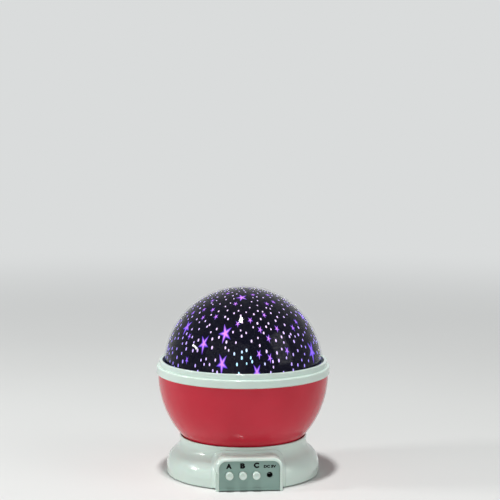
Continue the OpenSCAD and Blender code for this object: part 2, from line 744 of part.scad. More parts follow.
// Controls -------------------------------------------------------------------
module control_panel() {
    w = opening_w - 2 * panel_gap;
    color("#c9d3cf") difference() {
        union() {
            arch_slab(panel_face, panel_back, w, panel_z, opening_z - panel_gap, opening_corner - panel_gap);
            translate([-w / 2, -panel_face - sill_out, panel_z]) cube([w, sill_out + slop, sill_h]);
        }
        at_buttons() facing_front(panel_back - slop)
            cylinder(r = button_d / 2 + button_gap, h = panel_t + 2 * slop);
        translate([jack_x, 0, button_z]) facing_front(panel_back - slop)
            cylinder(d = jack_hole_d, h = panel_t + 2 * slop);
    }
}
module button(i) {
    l = panel_face + button_out - flange_back;
    color(white) translate([button_x[i], 0, button_z]) facing_front(flange_back) {
        rotate_extrude() difference() {
            union() {
                square([button_d / 2, l - button_edge]);
                square([button_d / 2 - button_edge, l]);
                translate([button_d / 2 - button_edge, l - button_edge]) circle(button_edge);
                square([flange_r, flange_t]);
            }
            translate([0, l + dish_r - dish_deep]) circle(dish_r);
        }
        translate([0, 0, -stem_l]) cylinder(r = stem_r, h = stem_l + slop);
    }
}
module button_a() { button(0); }
module button_b() { button(1); }
module button_c() { button(2); }
module plunger(i) {
    color("#202224") translate([button_x[i], 0, button_z]) facing_front(plunger_front - plunger_l)
        cylinder(r = plunger_r, h = plunger_l);
}
module plunger_a() { plunger(0); }
module plunger_b() { plunger(1); }
module plunger_c() { plunger(2); }
module control_board() {
    color("#2f6b45") difference() {
        translate([-board_w / 2, -board_front, board_z]) cube([board_w, board_t, board_top - board_z]);
        at_buttons()
            for (dx = [-1, 1], dz = [-1, 1])
                translate([dx * pin_hole_at[0], 0, dz * pin_hole_at[1]])
                    facing_front(board_back - slop)
                        cylinder(r = pin_hole_r, h = board_t + 2 * slop);
    }
}
module switch_bodies() {
    color("#55585a") at_buttons() difference() {
        translate([-switch_w / 2, -switch_front, -switch_w / 2]) cube([switch_w, switch_t, switch_w]);
        facing_front(switch_front - plunger_in - button_travel - switch_room)
            cylinder(r = plunger_r + switch_bore_gap, h = switch_t);
    }
}
module control_chips() {
    color("#202224") {
        translate([-board_w / 3, -board_back, board_z + chip_up]) cube(chip);
        for (i = [0, 1])
            translate([chip_up + i * 2 * driver[0], -board_back, board_z + chip_up]) cube(driver);
        translate([jack_x, 0, button_z]) facing_front(board_back - capacitor_l)
            cylinder(r = capacitor_r, h = capacitor_l);
    }
}
module power_socket() {
    l = socket_front - board_front;
    color("#202224") difference() {
        union() {
            translate([jack_x, 0, button_z]) facing_front(board_front) cylinder(r = socket_r, h = l);
            translate([jack_x - socket_r, -board_front - l / 2, button_z - socket_r])
                cube([2 * socket_r, l / 2, 2 * socket_r]);
        }
        translate([jack_x, 0, button_z]) facing_front(board_front + socket_floor)
            cylinder(r = socket_bore, h = l);
    }
}
module socket_pin() {
    color("silver") translate([jack_x, 0, button_z]) facing_front(board_front + socket_floor)
        rotate_extrude() {
            h = socket_front - board_front - socket_floor - socket_pin_back;
            square([socket_pin_r, h - socket_pin_r]);
            intersection() {
                translate([0, h - socket_pin_r]) circle(socket_pin_r);
                square([socket_pin_r, h]);
            }
        }
}

// Wires ----------------------------------------------------------------------
// Round wire along a path of [x, z] points, in the plane y = 0
module wire(path) {
    last = len(path) - 1;
    points = [for (i = [0:last])
        let (run = path[min(i + 1, last)] - path[max(i - 1, 0)], side = [-run[1], run[0]] / norm(run))
        for (k = [0:wire_steps - 1]) let (p = polar(wire_r, k * 360 / wire_steps))
            [path[i][0] + side[0] * p[0], p[1], path[i][1] + side[1] * p[0]]];
    polyhedron(points, tube_faces(last + 1, wire_steps));
}
module pair() {
    for (side = [-1, 1])
        translate([0, side * wire_pair / 2, 0]) children();
}
// Solder that holds a wire to the back of the control board
module solder(x, z) {
    translate([x, 0, z]) facing_front(board_back - solder_t) cylinder(r = solder_r, h = solder_t);
}
module lamp_wires() {
    top = post_top + board_t + wire_r;
    start = [wire_bend / 2 + solder_r, top];
    end = [(board_back - solder_t / 2) / sin(-wire_turn), wire_board_z[0]];
    path = concat(
        [start],
        arc(wire_bend / 2, top - wire_bend / 2, wire_bend / 2, 90, 180, wire_steps),
        arc(wire_bend, wire_deck_z + wire_bend, wire_bend, 180, 270, wire_steps),
        ease([end[0] - 3 * wire_bend, wire_deck_z], end)
    );
    color("#b8342c") {
        rotate(wire_turn) pair() {
            wire(path);
            translate([start[0], 0, post_top + board_t]) cylinder(r = wire_r, h = 2 * wire_r);
        }
        for (side = [-1, 1])
            solder(end[0] * cos(wire_turn) + side * wire_pair / 2, wire_board_z[0]);
    }
}
module motor_wires() {
    start = [motor_d / 2 - motor_xy[1], motor_low + 2 * wire_bend];
    color("#b8342c") {
        translate([motor_xy[0], 0, 0]) rotate(-90) pair()
            wire(ease(start, [board_back - solder_t / 2, wire_board_z[1]]));
        for (side = [-1, 1])
            solder(motor_xy[0] + side * wire_pair / 2, wire_board_z[1]);
    }
}
module battery_wires() {
    color("#b8342c") for (x = [-battery_wire_x, battery_wire_x]) {
        translate([x, 0, 0]) rotate(-90)
            wire(ease([-box_front, cell_z], [board_back - solder_t / 2, wire_board_z[2]]));
        solder(x, wire_board_z[2]);
    }
}

// Motor and gears ------------------------------------------------------------
module strap_screw_places() {
    for (side = [-1, 1])
        translate([motor_xy[0] + side * (motor_w / 2 + part_gap + strap_t + strap_foot / 2), motor_xy[1], 0])
            children();
}
module gear_motor() {
    translate([motor_xy[0], motor_xy[1], 0]) {
        color("#b9bcc0") intersection() {
            translate([0, 0, motor_low]) cylinder(r = motor_w / 2, h = motor_top - gearhead_h - motor_low);
            translate([-motor_w / 2, -motor_d / 2, motor_low]) cube([motor_w, motor_d, motor_top]);
        }
        color("#e9e4d4") difference() {
            translate([-motor_w / 2, -motor_d / 2, motor_top - gearhead_h - slop])
                cube([motor_w, motor_d, gearhead_h + slop]);
            translate([0, 0, motor_top - gearhead_h + shaft_seat])
                cylinder(r = pin_r + shaft_gap, h = gearhead_h);
        }
    }
}
module motor_strap() {
    span = motor_w / 2 + part_gap;
    color("#b9bcc0") translate([motor_xy[0], motor_xy[1], 0]) difference() {
        union() {
            translate([-span - strap_t, -strap_w / 2, motor_top])
                cube([2 * (span + strap_t), strap_w, strap_t]);
            for (side = [0, 1])
                mirror([side, 0, 0]) translate([span, -strap_w / 2, deck_top]) {
                    cube([strap_t, strap_w, motor_top - deck_top + slop]);
                    cube([strap_t + strap_foot, strap_w, strap_t]);
                }
        }
        translate([0, 0, motor_top - slop]) cylinder(r = 2 * pin_r, h = 2 * strap_t);
        for (side = [-1, 1])
            translate([side * (span + strap_t + strap_foot / 2), 0, deck_top - slop])
                cylinder(r = screw_r + hole_gap, h = 2 * strap_t);
    }
}
module strap_screws() {
    color("silver") strap_screw_places() translate([0, 0, deck_top + strap_t])
        screw_down(strap_t + deck_t);
}
module motor_shaft() {
    low = motor_top - gearhead_h + shaft_seat + part_gap;
    color("silver") translate([motor_xy[0], motor_xy[1], low]) cylinder(r = pin_r, h = shaft_top - low);
}
module gear_ring(n, phase, z, w, bore) {
    translate([0, 0, z]) difference() {
        linear_extrude(w) polygon(gear_points(n, phase));
        translate([0, 0, -slop]) cylinder(r = bore, h = w + 2 * slop);
    }
}
module drive_pinion() {
    color("#f2f0e6") translate([motor_xy[0], motor_xy[1], 0])
        gear_ring(pinion_teeth, pinion_phase, large_z, gear_w, pin_r);
}
module gear_axle() {
    color("silver") translate([reduction_xy[0], reduction_xy[1], axle_z])
        cylinder(r = pin_r, h = small_top + 2 * clip_t - axle_z);
}
module reduction_gear() {
    bore = pin_r + shaft_gap;
    web_r = gear_module * (large_teeth / 2 - tooth_root) - gear_rim;
    hub = pin_r + gear_hub;
    color("#f2f0e6") translate([reduction_xy[0], reduction_xy[1], 0]) {
        difference() {
            gear_ring(large_teeth, reduction_phase, large_z, gear_w, bore);
            translate([0, 0, large_z - slop]) difference() {
                cylinder(r = web_r, h = gear_dish);
                cylinder(r = hub, h = gear_dish);
            }
            ring_of(gear_holes, (web_r + hub) / 2, 36) translate([0, 0, large_z - slop])
                cylinder(r = gear_hole_r, h = gear_w + 2 * slop);
        }
        gear_ring(small_teeth, reduction_phase, large_top - slop, small_top - large_top + slop, bore);
        translate([0, 0, axle_boss_top + spacer_play]) difference() {
            cylinder(r = pin_r + spacer_wall, h = large_z - axle_boss_top);
            translate([0, 0, -slop]) cylinder(r = bore, h = large_z);
        }
    }
}
module axle_clip() {
    color("#55585a") translate([reduction_xy[0], reduction_xy[1], small_top + part_gap]) difference() {
        cylinder(r = pin_r + clip_reach, h = clip_t);
        translate([0, 0, -slop]) cylinder(r = pin_r, h = clip_t + 2 * slop);
        translate([0, -axle_clip_slot / 2, -slop])
            cube([pin_r + 2 * clip_reach, axle_clip_slot, clip_t + 2 * slop]);
    }
}

// Post and lights ------------------------------------------------------------
module center_post() {
    groove_z = hub_top + seat_gap;
    color(white) difference() {
        union() {
            translate([0, 0, deck_top]) cylinder(r = post_flange_r, h = post_flange_t);
            translate([0, 0, deck_top]) cylinder(r = collar_r, h = collar_top - deck_top);
            translate([0, 0, deck_top]) cylinder(r = post_r, h = post_top - deck_top);
            translate([0, 0, post_top - head_flange_t]) cylinder(r = head_flange_r, h = head_flange_t);
        }
        translate([0, 0, deck_top - slop]) cylinder(r = post_bore, h = post_top);
        ring_of(3, post_screw_at, 90) translate([0, 0, deck_top - slop])
            cylinder(r = screw_r + hole_gap, h = post_flange_t + 2 * slop);
        translate([0, 0, groove_z]) difference() {
            cylinder(r = 2 * post_r, h = clip_t);
            translate([0, 0, -slop]) cylinder(r = post_r - groove_depth, h = clip_t + 2 * slop);
        }
        ring_of(2, led_screw_at, 45) translate([0, 0, post_top - head_flange_t - slop])
            cylinder(r = led_screw_r, h = head_flange_t + 2 * slop);
    }
}
module post_screws() {
    color("silver") ring_of(3, post_screw_at, 90) translate([0, 0, deck_top + post_flange_t])
        screw_down(post_flange_t + deck_t);
}
module thrust_washer() {
    color(copper) translate([0, 0, collar_top]) difference() {
        cylinder(r = collar_r, h = washer_t);
        translate([0, 0, -slop]) cylinder(r = post_r + shaft_gap, h = washer_t + 2 * slop);
    }
}
module retaining_clip() {
    color("#b9bcc0") translate([0, 0, hub_top + seat_gap]) difference() {
        cylinder(r = clip_r, h = clip_t);
        translate([0, 0, -slop]) cylinder(r = post_r - groove_depth, h = clip_t + 2 * slop);
        translate([0, -clip_mouth / 2, -slop]) cube([2 * clip_r, clip_mouth, clip_t + 2 * slop]);
    }
}
module led_board() {
    color("#f4f4f0") translate([0, 0, post_top]) difference() {
        cylinder(r = led_board_r, h = board_t);
        translate([0, 0, -slop]) cylinder(r = wire_hole_r, h = board_t + 2 * slop);
        ring_of(2, led_screw_at, 45) translate([0, 0, -slop])
            cylinder(r = led_screw_r + hole_gap, h = board_t + 2 * slop);
    }
}
module leds() {
    color("#cfd8f4") ring_of(led_count, led_at) translate([0, 0, post_top + board_t]) rotate_extrude() {
        square([led_r + led_foot[0], led_foot[1]]);
        square([led_r, led_h - led_r]);
        intersection() {
            translate([0, led_h - led_r]) circle(led_r);
            square([led_r, led_h]);
        }
    }
}
module led_screws() {
    color("silver") ring_of(2, led_screw_at, 45) translate([0, 0, post_top + board_t])
        mirror([0, 0, 1]) screw(board_t + head_flange_t, led_screw_head_r, led_screw_r);
}

// Bowl -----------------------------------------------------------------------
// Solid of the bowl's side, drawn in by inset and run past its two edges
module bowl_profile(inset, past = 0) {
    intersection() {
        translate(bowl_centre) circle(bowl_arc_r - inset);
        translate([0, bowl_low_z - past]) square([2 * bowl_r, bowl_rim_z - bowl_low_z + 2 * past]);
    }
}
module bowl() {
    ledge_z = reflector_z - ledge_t;
    color(coral) difference() {
        union() {
            rotate_extrude() difference() {
                bowl_profile(0);
                difference() {
                    bowl_profile(bowl_wall, 1);
                    translate([0, web_z]) square([bowl_r, web_t]);
                    translate([bowl_radius(ledge_z, bowl_wall) - ledge_reach, ledge_z])
                        square([ledge_reach + 1, ledge_t]);
                }
            }
            translate([0, 0, bowl_gear_z]) cylinder(r = hub_r, h = hub_top - bowl_gear_z);
            ring_of(3, gear_screw_at, gear_screw_turn) translate([0, 0, web_z])
                cylinder(r = boss_r, h = web_t + rib_h);
            for (i = [0:rib_count - 1])
                rotate(i * 360 / rib_count) translate([hub_r - 1, -rib_t / 2, web_z + web_t - slop])
                    cube([bowl_radius(web_z + web_t, bowl_wall) - hub_r, rib_t, rib_h]);
        }
        translate([0, 0, bowl_gear_z - slop]) cylinder(r = bush_r, h = hub_top);
        ring_of(3, gear_screw_at, gear_screw_turn) translate([0, 0, web_z - slop])
            cylinder(r = screw_r, h = gear_screw_deep + 2 * slop);
    }
}
module bowl_bush() {
    color(copper) difference() {
        translate([0, 0, bowl_gear_z]) cylinder(r = bush_r, h = hub_top - bowl_gear_z);
        translate([0, 0, bowl_gear_z - slop]) cylinder(r = post_r + shaft_gap, h = hub_top);
    }
}
module bowl_gear() {
    color("#f2f0e6") difference() {
        union() {
            translate([0, 0, bowl_gear_z]) linear_extrude(bowl_gear_w)
                polygon(gear_points(bowl_teeth, 0));
            translate([0, 0, bowl_gear_z + bowl_gear_w / 2])
                cylinder(r = gear_boss_r, h = web_z - bowl_gear_z - bowl_gear_w / 2);
        }
        translate([0, 0, bowl_gear_z - slop]) cylinder(r = hub_r, h = web_z);
        ring_of(3, gear_screw_at, gear_screw_turn) translate([0, 0, bowl_gear_z - slop]) {
            cylinder(r = screw_r + hole_gap, h = web_z);
            cylinder(r = screw_head_r + head_gap, h = gear_screw_z - bowl_gear_z + slop);
        }
    }
}
module gear_screws() {
    color("silver") ring_of(3, gear_screw_at, gear_screw_turn) translate([0, 0, gear_screw_z])
        screw(web_z + gear_screw_deep - gear_screw_z);
}
module reflector() {
    rim = bowl_radius(reflector_z, bowl_wall) - rim_gap;
    hole = led_board_r + reflector_hole;
    top = reflector_z + reflector_t;
    color("#f4f4f0") rotate_extrude() polygon([
        [rim, reflector_z], [rim, top], [rim - reflector_flat, top], [hole, top - reflector_sink],
        [hole, reflector_z - reflector_sink], [rim - reflector_flat, reflector_z]
    ]);
}

// Ring and dome ----------------------------------------------------------------
module rim_ring() {
    band_top = ring_z + band_h;
    lip_top = band_top + lip_h;
    color(white) rotate_extrude() {
        translate([lip_in, ring_z]) square([ring_r - band_round - lip_in, band_h]);
        translate([lip_in, ring_z + band_round]) square([ring_r - lip_in, band_h - 2 * band_round]);
        for (z = [ring_z + band_round, band_top - band_round])
            translate([ring_r - band_round, z]) circle(band_round);
        translate([lip_in, band_top - slop]) square([lip_wall, lip_h - lip_round + slop]);
        translate([lip_in + lip_round, band_top]) square([lip_wall - 2 * lip_round, lip_h]);
        for (x = [lip_in + lip_round, lip_r - lip_round])
            translate([x, lip_top - lip_round]) circle(lip_round);
        translate([plug_r - plug_wall, ring_z - plug_h]) square([plug_wall, plug_h]);
        translate([lip_in, ring_z - slop]) square([plug_r - lip_in, 2 * slop]);
        translate([lip_in - shelf_reach, ring_z - shelf_t]) square([shelf_reach, shelf_t]);
    }
}
// Half section of a half sphere's shell with a straight skirt below it
module dome_section(r, wall, low) {
    polygon(concat(
        [[r - wall, low], [r, low]],
        arc(0, dome_z, r, 0, 90, dome_steps),
        arc(0, dome_z, r - wall, 90, 0, dome_steps)
    ));
}
module dome() {
    color("#101018") rotate_extrude() {
        dome_section(dome_r, dome_wall, ring_z);
        translate([dome_r - dome_wall / 2, ring_z])
            square([dome_wall / 2 + dome_gap - flange_play, dome_flange_t]);
    }
}
// Opening through the print at a direction round the axis and a height angle
module window(direction, height, points) {
    translate([0, 0, dome_z]) rotate([0, 90 - height, direction])
        translate([0, 0, mask_r - 2 * star_r]) rotate(90) linear_extrude(4 * star_r) polygon(points);
}
module star_mask() {
    color("#101018") difference() {
        rotate_extrude() dome_section(mask_r, mask_t, mask_low);
        for (s = stars)
            window(s[0], s[1], star_points(star_r * s[2], s[3], upright(s[1])));
        for (row = star_rows, i = [0:row[1] - 1]) {
            share = (i + 0.3 + 0.4 * scatter(i, row[0])) / row[1];
            size = row_size[0] + (row_size[1] - row_size[0]) * scatter(i, row[0] + 2);
            window(rows_from + (rows_to - rows_from) * share, row[0] + row_rise * scatter(i, row[0] + 1),
                star_points(star_r * size, row_turn * scatter(i, row[0] + 3), upright(row[0])));
        }
    }
}

base_shell();
base_bottom();
rubber_feet();
base_screws();
battery_door();
door_screw();
battery_cells();
battery_springs();
battery_contacts();
control_panel();
button_a();
button_b();
button_c();
plunger_a();
plunger_b();
plunger_c();
control_board();
switch_bodies();
control_chips();
power_socket();
socket_pin();
lamp_wires();
motor_wires();
battery_wires();
gear_motor();
motor_strap();
strap_screws();
motor_shaft();
drive_pinion();
gear_axle();
reduction_gear();
axle_clip();
center_post();
post_screws();
thrust_washer();
retaining_clip();
led_board();
leds();
led_screws();
bowl();
bowl_bush();
bowl_gear();
gear_screws();
reflector();
rim_ring();
dome();
star_mask();
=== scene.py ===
import math

import bmesh
import bpy
import numpy as np
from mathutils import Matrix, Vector


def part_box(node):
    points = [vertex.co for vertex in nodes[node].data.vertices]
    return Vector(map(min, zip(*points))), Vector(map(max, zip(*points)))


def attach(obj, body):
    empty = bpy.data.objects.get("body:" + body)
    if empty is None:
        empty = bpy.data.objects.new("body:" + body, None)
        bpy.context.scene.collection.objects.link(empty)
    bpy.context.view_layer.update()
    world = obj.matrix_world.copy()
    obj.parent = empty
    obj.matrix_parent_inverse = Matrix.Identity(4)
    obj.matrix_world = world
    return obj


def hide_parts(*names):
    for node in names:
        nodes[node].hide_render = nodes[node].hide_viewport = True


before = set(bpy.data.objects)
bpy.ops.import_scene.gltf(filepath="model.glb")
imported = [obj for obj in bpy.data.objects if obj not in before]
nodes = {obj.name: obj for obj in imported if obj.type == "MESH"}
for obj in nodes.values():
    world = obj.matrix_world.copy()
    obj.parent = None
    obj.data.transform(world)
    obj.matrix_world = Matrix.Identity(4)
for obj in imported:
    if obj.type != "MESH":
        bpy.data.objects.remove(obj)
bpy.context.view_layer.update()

mm = 0.001
print("frame loaded:", len(nodes), "nodes")


# colours are written as they look, in hex, and made linear here
def linear(code):
    c = np.array([int(code[i:i + 2], 16) for i in (1, 3, 5)]) / 255
    return tuple(np.where(c <= 0.04045, c / 12.92, ((c + 0.055) / 1.055) ** 2.4)) + (1.0,)


def newMaterial(name):
    material = bpy.data.materials.new(name)
    material.use_nodes = True
    tree = material.node_tree
    return material, tree, tree.nodes["Principled BSDF"]


# noise on the piece's own coordinates, scale in waves per metre
def noiseFrom(tree, scale, detail=2.0, stretch=None):
    place = tree.nodes.new("ShaderNodeTexCoord")
    noise = tree.nodes.new("ShaderNodeTexNoise")
    noise.inputs["Scale"].default_value = scale
    noise.inputs["Detail"].default_value = detail
    source = place.outputs["Object"]
    if stretch:
        mapping = tree.nodes.new("ShaderNodeMapping")
        mapping.inputs["Scale"].default_value = stretch
        tree.links.new(source, mapping.inputs["Vector"])
        source = mapping.outputs["Vector"]
    tree.links.new(source, noise.inputs["Vector"])
    return noise.outputs["Fac"]


# colour ramp over a source from 0 to 1, stops as (place, linear colour)
def ramp(tree, source, stops):
    node = tree.nodes.new("ShaderNodeValToRGB")
    while len(node.color_ramp.elements) < len(stops):
        node.color_ramp.elements.new(0.5)
    for element, (at, colour) in zip(node.color_ramp.elements, stops):
        element.position = at
        element.color = colour
    tree.links.new(source, node.inputs["Fac"])
    return node.outputs["Color"]


# a source's range fitted to another, 0 to 1 unless given
def fitted(tree, source, fromRange, toRange=(0, 1), blend="LINEAR"):
    node = tree.nodes.new("ShaderNodeMapRange")
    node.interpolation_type = blend
    for name, value in zip(("From Min", "From Max", "To Min", "To Max"), (*fromRange, *toRange)):
        node.inputs[name].default_value = value
    tree.links.new(source, node.inputs["Value"])
    return node.outputs["Result"]


# the middle of a noise's range spread over low to high
def spread(tree, source, low, high):
    return fitted(tree, source, (0.3, 0.7), (low, high))


# two linear colours by a noise, the first where it is low
def twoTones(tree, source, first, second, low=0.3, high=0.7):
    return ramp(tree, source, [(low, linear(first)), (high, linear(second))])


def bump(tree, shader, source, strength, depth):
    node = tree.nodes.new("ShaderNodeBump")
    node.inputs["Strength"].default_value = strength
    node.inputs["Distance"].default_value = depth
    tree.links.new(source, node.inputs["Height"])
    tree.links.new(node.outputs["Normal"], shader.inputs["Normal"])


# what a moulded piece has unless its own look says otherwise
mouldedLook = {
    "flow": 28,                 # waves per metre of the tones, the gloss and the skin
    "grain": 700,
    "skin": 420,
    "skinStrength": 0.1,
    "skinDepth": 0.04 * mm,
    "ior": 1.5,
    "gloss": 0.5,
    "coat": 0.0,
    "coatRoughness": 0.06,
    "depth": 0.0,               # share of the light that goes under the surface
    "depthReach": 2 * mm,
}


# moulded plastic: two near tones by slow noise, gloss by finer noise, and a faint skin
def moulded(name, own):
    look = {**mouldedLook, **own}
    material, tree, shader = newMaterial(name)
    slow = noiseFrom(tree, look["flow"], 3)
    tones = twoTones(tree, slow, look["shade"], look["colour"], 0.35, 0.65)
    tree.links.new(tones, shader.inputs["Base Color"])
    fine = noiseFrom(tree, look["grain"], 2)
    tree.links.new(spread(tree, fine, *look["roughness"]), shader.inputs["Roughness"])
    skin = noiseFrom(tree, look["skin"], 3)
    bump(tree, shader, skin, look["skinStrength"], look["skinDepth"])
    shader.inputs["IOR"].default_value = look["ior"]
    shader.inputs["Specular IOR Level"].default_value = look["gloss"]
    shader.inputs["Coat Weight"].default_value = look["coat"]
    shader.inputs["Coat Roughness"].default_value = look["coatRoughness"]
    shader.inputs["Subsurface Weight"].default_value = look["depth"]
    shader.inputs["Subsurface Scale"].default_value = look["depthReach"]
    return material


metalLook = {
    "grain": 900,               # waves per metre
    "stretch": (1, 1, 0.08),    # streaks run along Z
    "skinStrength": 0.15,
    "skinDepth": 0.03 * mm,
}


# plated or plain metal: tone and gloss streaked by a noise drawn out along one axis
def metal(name, own):
    look = {**metalLook, **own}
    material, tree, shader = newMaterial(name)
    streak = noiseFrom(tree, look["grain"], 2, look["stretch"])
    tones = twoTones(tree, streak, look["shade"], look["colour"])
    tree.links.new(tones, shader.inputs["Base Color"])
    tree.links.new(spread(tree, streak, *look["roughness"]), shader.inputs["Roughness"])
    shader.inputs["Metallic"].default_value = 1.0
    bump(tree, shader, streak, look["skinStrength"], look["skinDepth"])
    return material


def paint(material, *names):
    for name in names:
        slots = nodes[name].data.materials
        slots.clear()
        slots.append(material)


whiteLook = {"colour": "#d2e3da", "shade": "#ccddd4", "roughness": (0.12, 0.19), "coat": 0.2,
             "depth": 0.05}
# the panel is coloured darker and greener than the shell: partly its own satin grey, partly
# painted shade of its upright face
panelLook = {"colour": "#88a49b", "shade": "#819d94", "roughness": (0.3, 0.4), "skin": 1500}
bowlLook = {"colour": "#ca263b", "shade": "#c12034", "roughness": (0.12, 0.19), "gloss": 0.35}
rubberLook = {"colour": "#3b3d3f", "shade": "#323435", "roughness": (0.6, 0.8), "skin": 2400,
              "skinStrength": 0.4}
blackLook = {"colour": "#1d1e20", "shade": "#17181a", "roughness": (0.35, 0.5), "skin": 1400}
gearLook = {"colour": "#efece0", "shade": "#e8e4d6", "roughness": (0.3, 0.42), "depth": 0.1}
reflectorLook = {"colour": "#f0f0ee", "shade": "#e9e9e7", "roughness": (0.4, 0.55)}
cellLook = {"colour": "#3c6e8f", "shade": "#356483", "roughness": (0.2, 0.3), "coat": 0.4}
boardLook = {"colour": "#2d6a48", "shade": "#27603f", "roughness": (0.3, 0.42), "coat": 0.3}
wireLook = {"colour": "#a8322a", "shade": "#9c2b24", "roughness": (0.4, 0.5)}
steelLook = {"colour": "#c9ccd0", "shade": "#b3b7bc", "roughness": (0.24, 0.4)}
canLook = {"colour": "#b9bcc0", "shade": "#a7aaae", "roughness": (0.3, 0.42)}
bronzeLook = {"colour": "#c8924e", "shade": "#b27d3e", "roughness": (0.35, 0.5),
              "stretch": (1, 1, 1)}

whiteGloss = moulded("whiteGloss", whiteLook)
paint(whiteGloss, "base_shell", "base_bottom", "battery_door", "rim_ring", "button_a", "button_b",
      "button_c", "center_post")
paint(moulded("panelSatinShaded", panelLook), "control_panel")
paint(moulded("bowlCoral", bowlLook), "bowl")
paint(moulded("footRubber", rubberLook), "rubber_feet")
paint(moulded("blackPlastic", blackLook), "switch_bodies", "control_chips", "power_socket",
      "plunger_a", "plunger_b", "plunger_c", "axle_clip")
paint(moulded("gearAcetal", gearLook), "drive_pinion", "reduction_gear", "bowl_gear")
paint(moulded("boardWhite", reflectorLook), "led_board", "reflector")
paint(moulded("cellJacket", cellLook), "battery_cells")
paint(moulded("circuitBoard", boardLook), "control_board")
paint(moulded("wireRed", wireLook), "lamp_wires", "motor_wires", "battery_wires")
paint(metal("zincSteel", steelLook), "base_screws", "door_screw", "strap_screws", "post_screws",
      "led_screws", "gear_screws", "motor_strap", "motor_shaft", "gear_axle", "retaining_clip",
      "socket_pin", "battery_springs", "battery_contacts")
paint(metal("motorCan", canLook), "gear_motor")
paint(metal("bearingBronze", bronzeLook), "thrust_washer", "bowl_bush")
print("node materials done")


def meshFrom(name, vertices, faces, material, smooth=True):
    mesh = bpy.data.meshes.new(name)
    mesh.from_pydata(np.asarray(vertices).tolist(), [], [list(map(int, f)) for f in faces])
    mesh.validate()
    mesh.polygons.foreach_set("use_smooth", np.full(len(mesh.polygons), smooth))
    mesh.materials.append(material)
    piece = bpy.data.objects.new(name, mesh)
    bpy.context.scene.collection.objects.link(piece)
    return piece


# vectors along the last axis, made one long
def unit(vectors):
    return vectors / np.linalg.norm(vectors, axis=-1)[..., None]


# points of a mesh as one array
def pointsOf(mesh):
    points = np.zeros(len(mesh.vertices) * 3)
    mesh.vertices.foreach_get("co", points)
    return points.reshape(-1, 3)


# points on a circle in the (radius, height) plane
def arc(centre, radius, fromDeg, toDeg, steps):
    a = np.radians(np.linspace(fromDeg, toDeg, steps + 1))
    return np.column_stack([centre[0] + radius * np.cos(a), centre[1] + radius * np.sin(a)])


# a closed (radius, height) profile carried round Z: x = r cos a, y = r sin a, z as it is;
# a profile that starts and ends on the axis gets one pole at each end
def turned(name, profile, count, material):
    profile = np.asarray(profile, float)
    onAxis = profile[:, 0] < 1e-9
    a = np.arange(count) * 2 * math.pi / count
    size = np.where(onAxis, 1, count)
    start = np.cumsum(size) - size
    vertices = np.concatenate([
        [[0, 0, z]] if pole else np.column_stack([r * np.cos(a), r * np.sin(a), np.full(count, z)])
        for (r, z), pole in zip(profile, onAxis)])
    step = np.arange(count)
    after = (step + 1) % count
    faces = []
    for i in range(len(profile) - int(onAxis[0] and onAxis[-1])):
        j = (i + 1) % len(profile)
        low, high = start[i], start[j]
        if onAxis[i]:
            faces += np.column_stack([np.full(count, low), high + after, high + step]).tolist()
        elif onAxis[j]:
            faces += np.column_stack([low + step, low + after, np.full(count, high)]).tolist()
        else:
            faces += np.column_stack([low + step, low + after, high + after, high + step]).tolist()
    return meshFrom(name, vertices, faces, material)


# fillet where the control block meets the foot, in millimetres
filletLook = {
    "blockHalf": 22.5, "blockTop": 22.8, "corner": 7, "lowest": 1.2,
    "shoulder": (39.3, 6.4, 13.8),      # centre's radius and height, and the arc's own radius
    "throat": (52.2, 23.97, 8),
    "reach": 2.6,                       # length of the fillet's legs
    "sunk": 0.25,                       # how far its back lies inside the shell
    "steps": 8,
    "sidePoints": 24,                   # up the block's side, round its corner and along its top
    "cornerPoints": 15,
    "topPoints": 12,
}


# outer radius of the foot at a height: a bulging arc below, a hollow one above
def footRadius(z, look):
    sr, sz, s = look["shoulder"]
    tr, tz, t = look["throat"]
    joinZ = sz + (tz - sz) * s / (s + t)
    bulge = sr + np.sqrt(np.maximum(s ** 2 - (z - sz) ** 2, 0))
    hollow = tr - np.sqrt(np.maximum(t ** 2 - (z - tz) ** 2, 0))
    return np.where(z < sz, sr + s, np.where(z < joinZ, bulge, hollow))


def onFoot(x, z, look):
    return np.column_stack([x, -np.sqrt(footRadius(z, look) ** 2 - x ** 2), z])


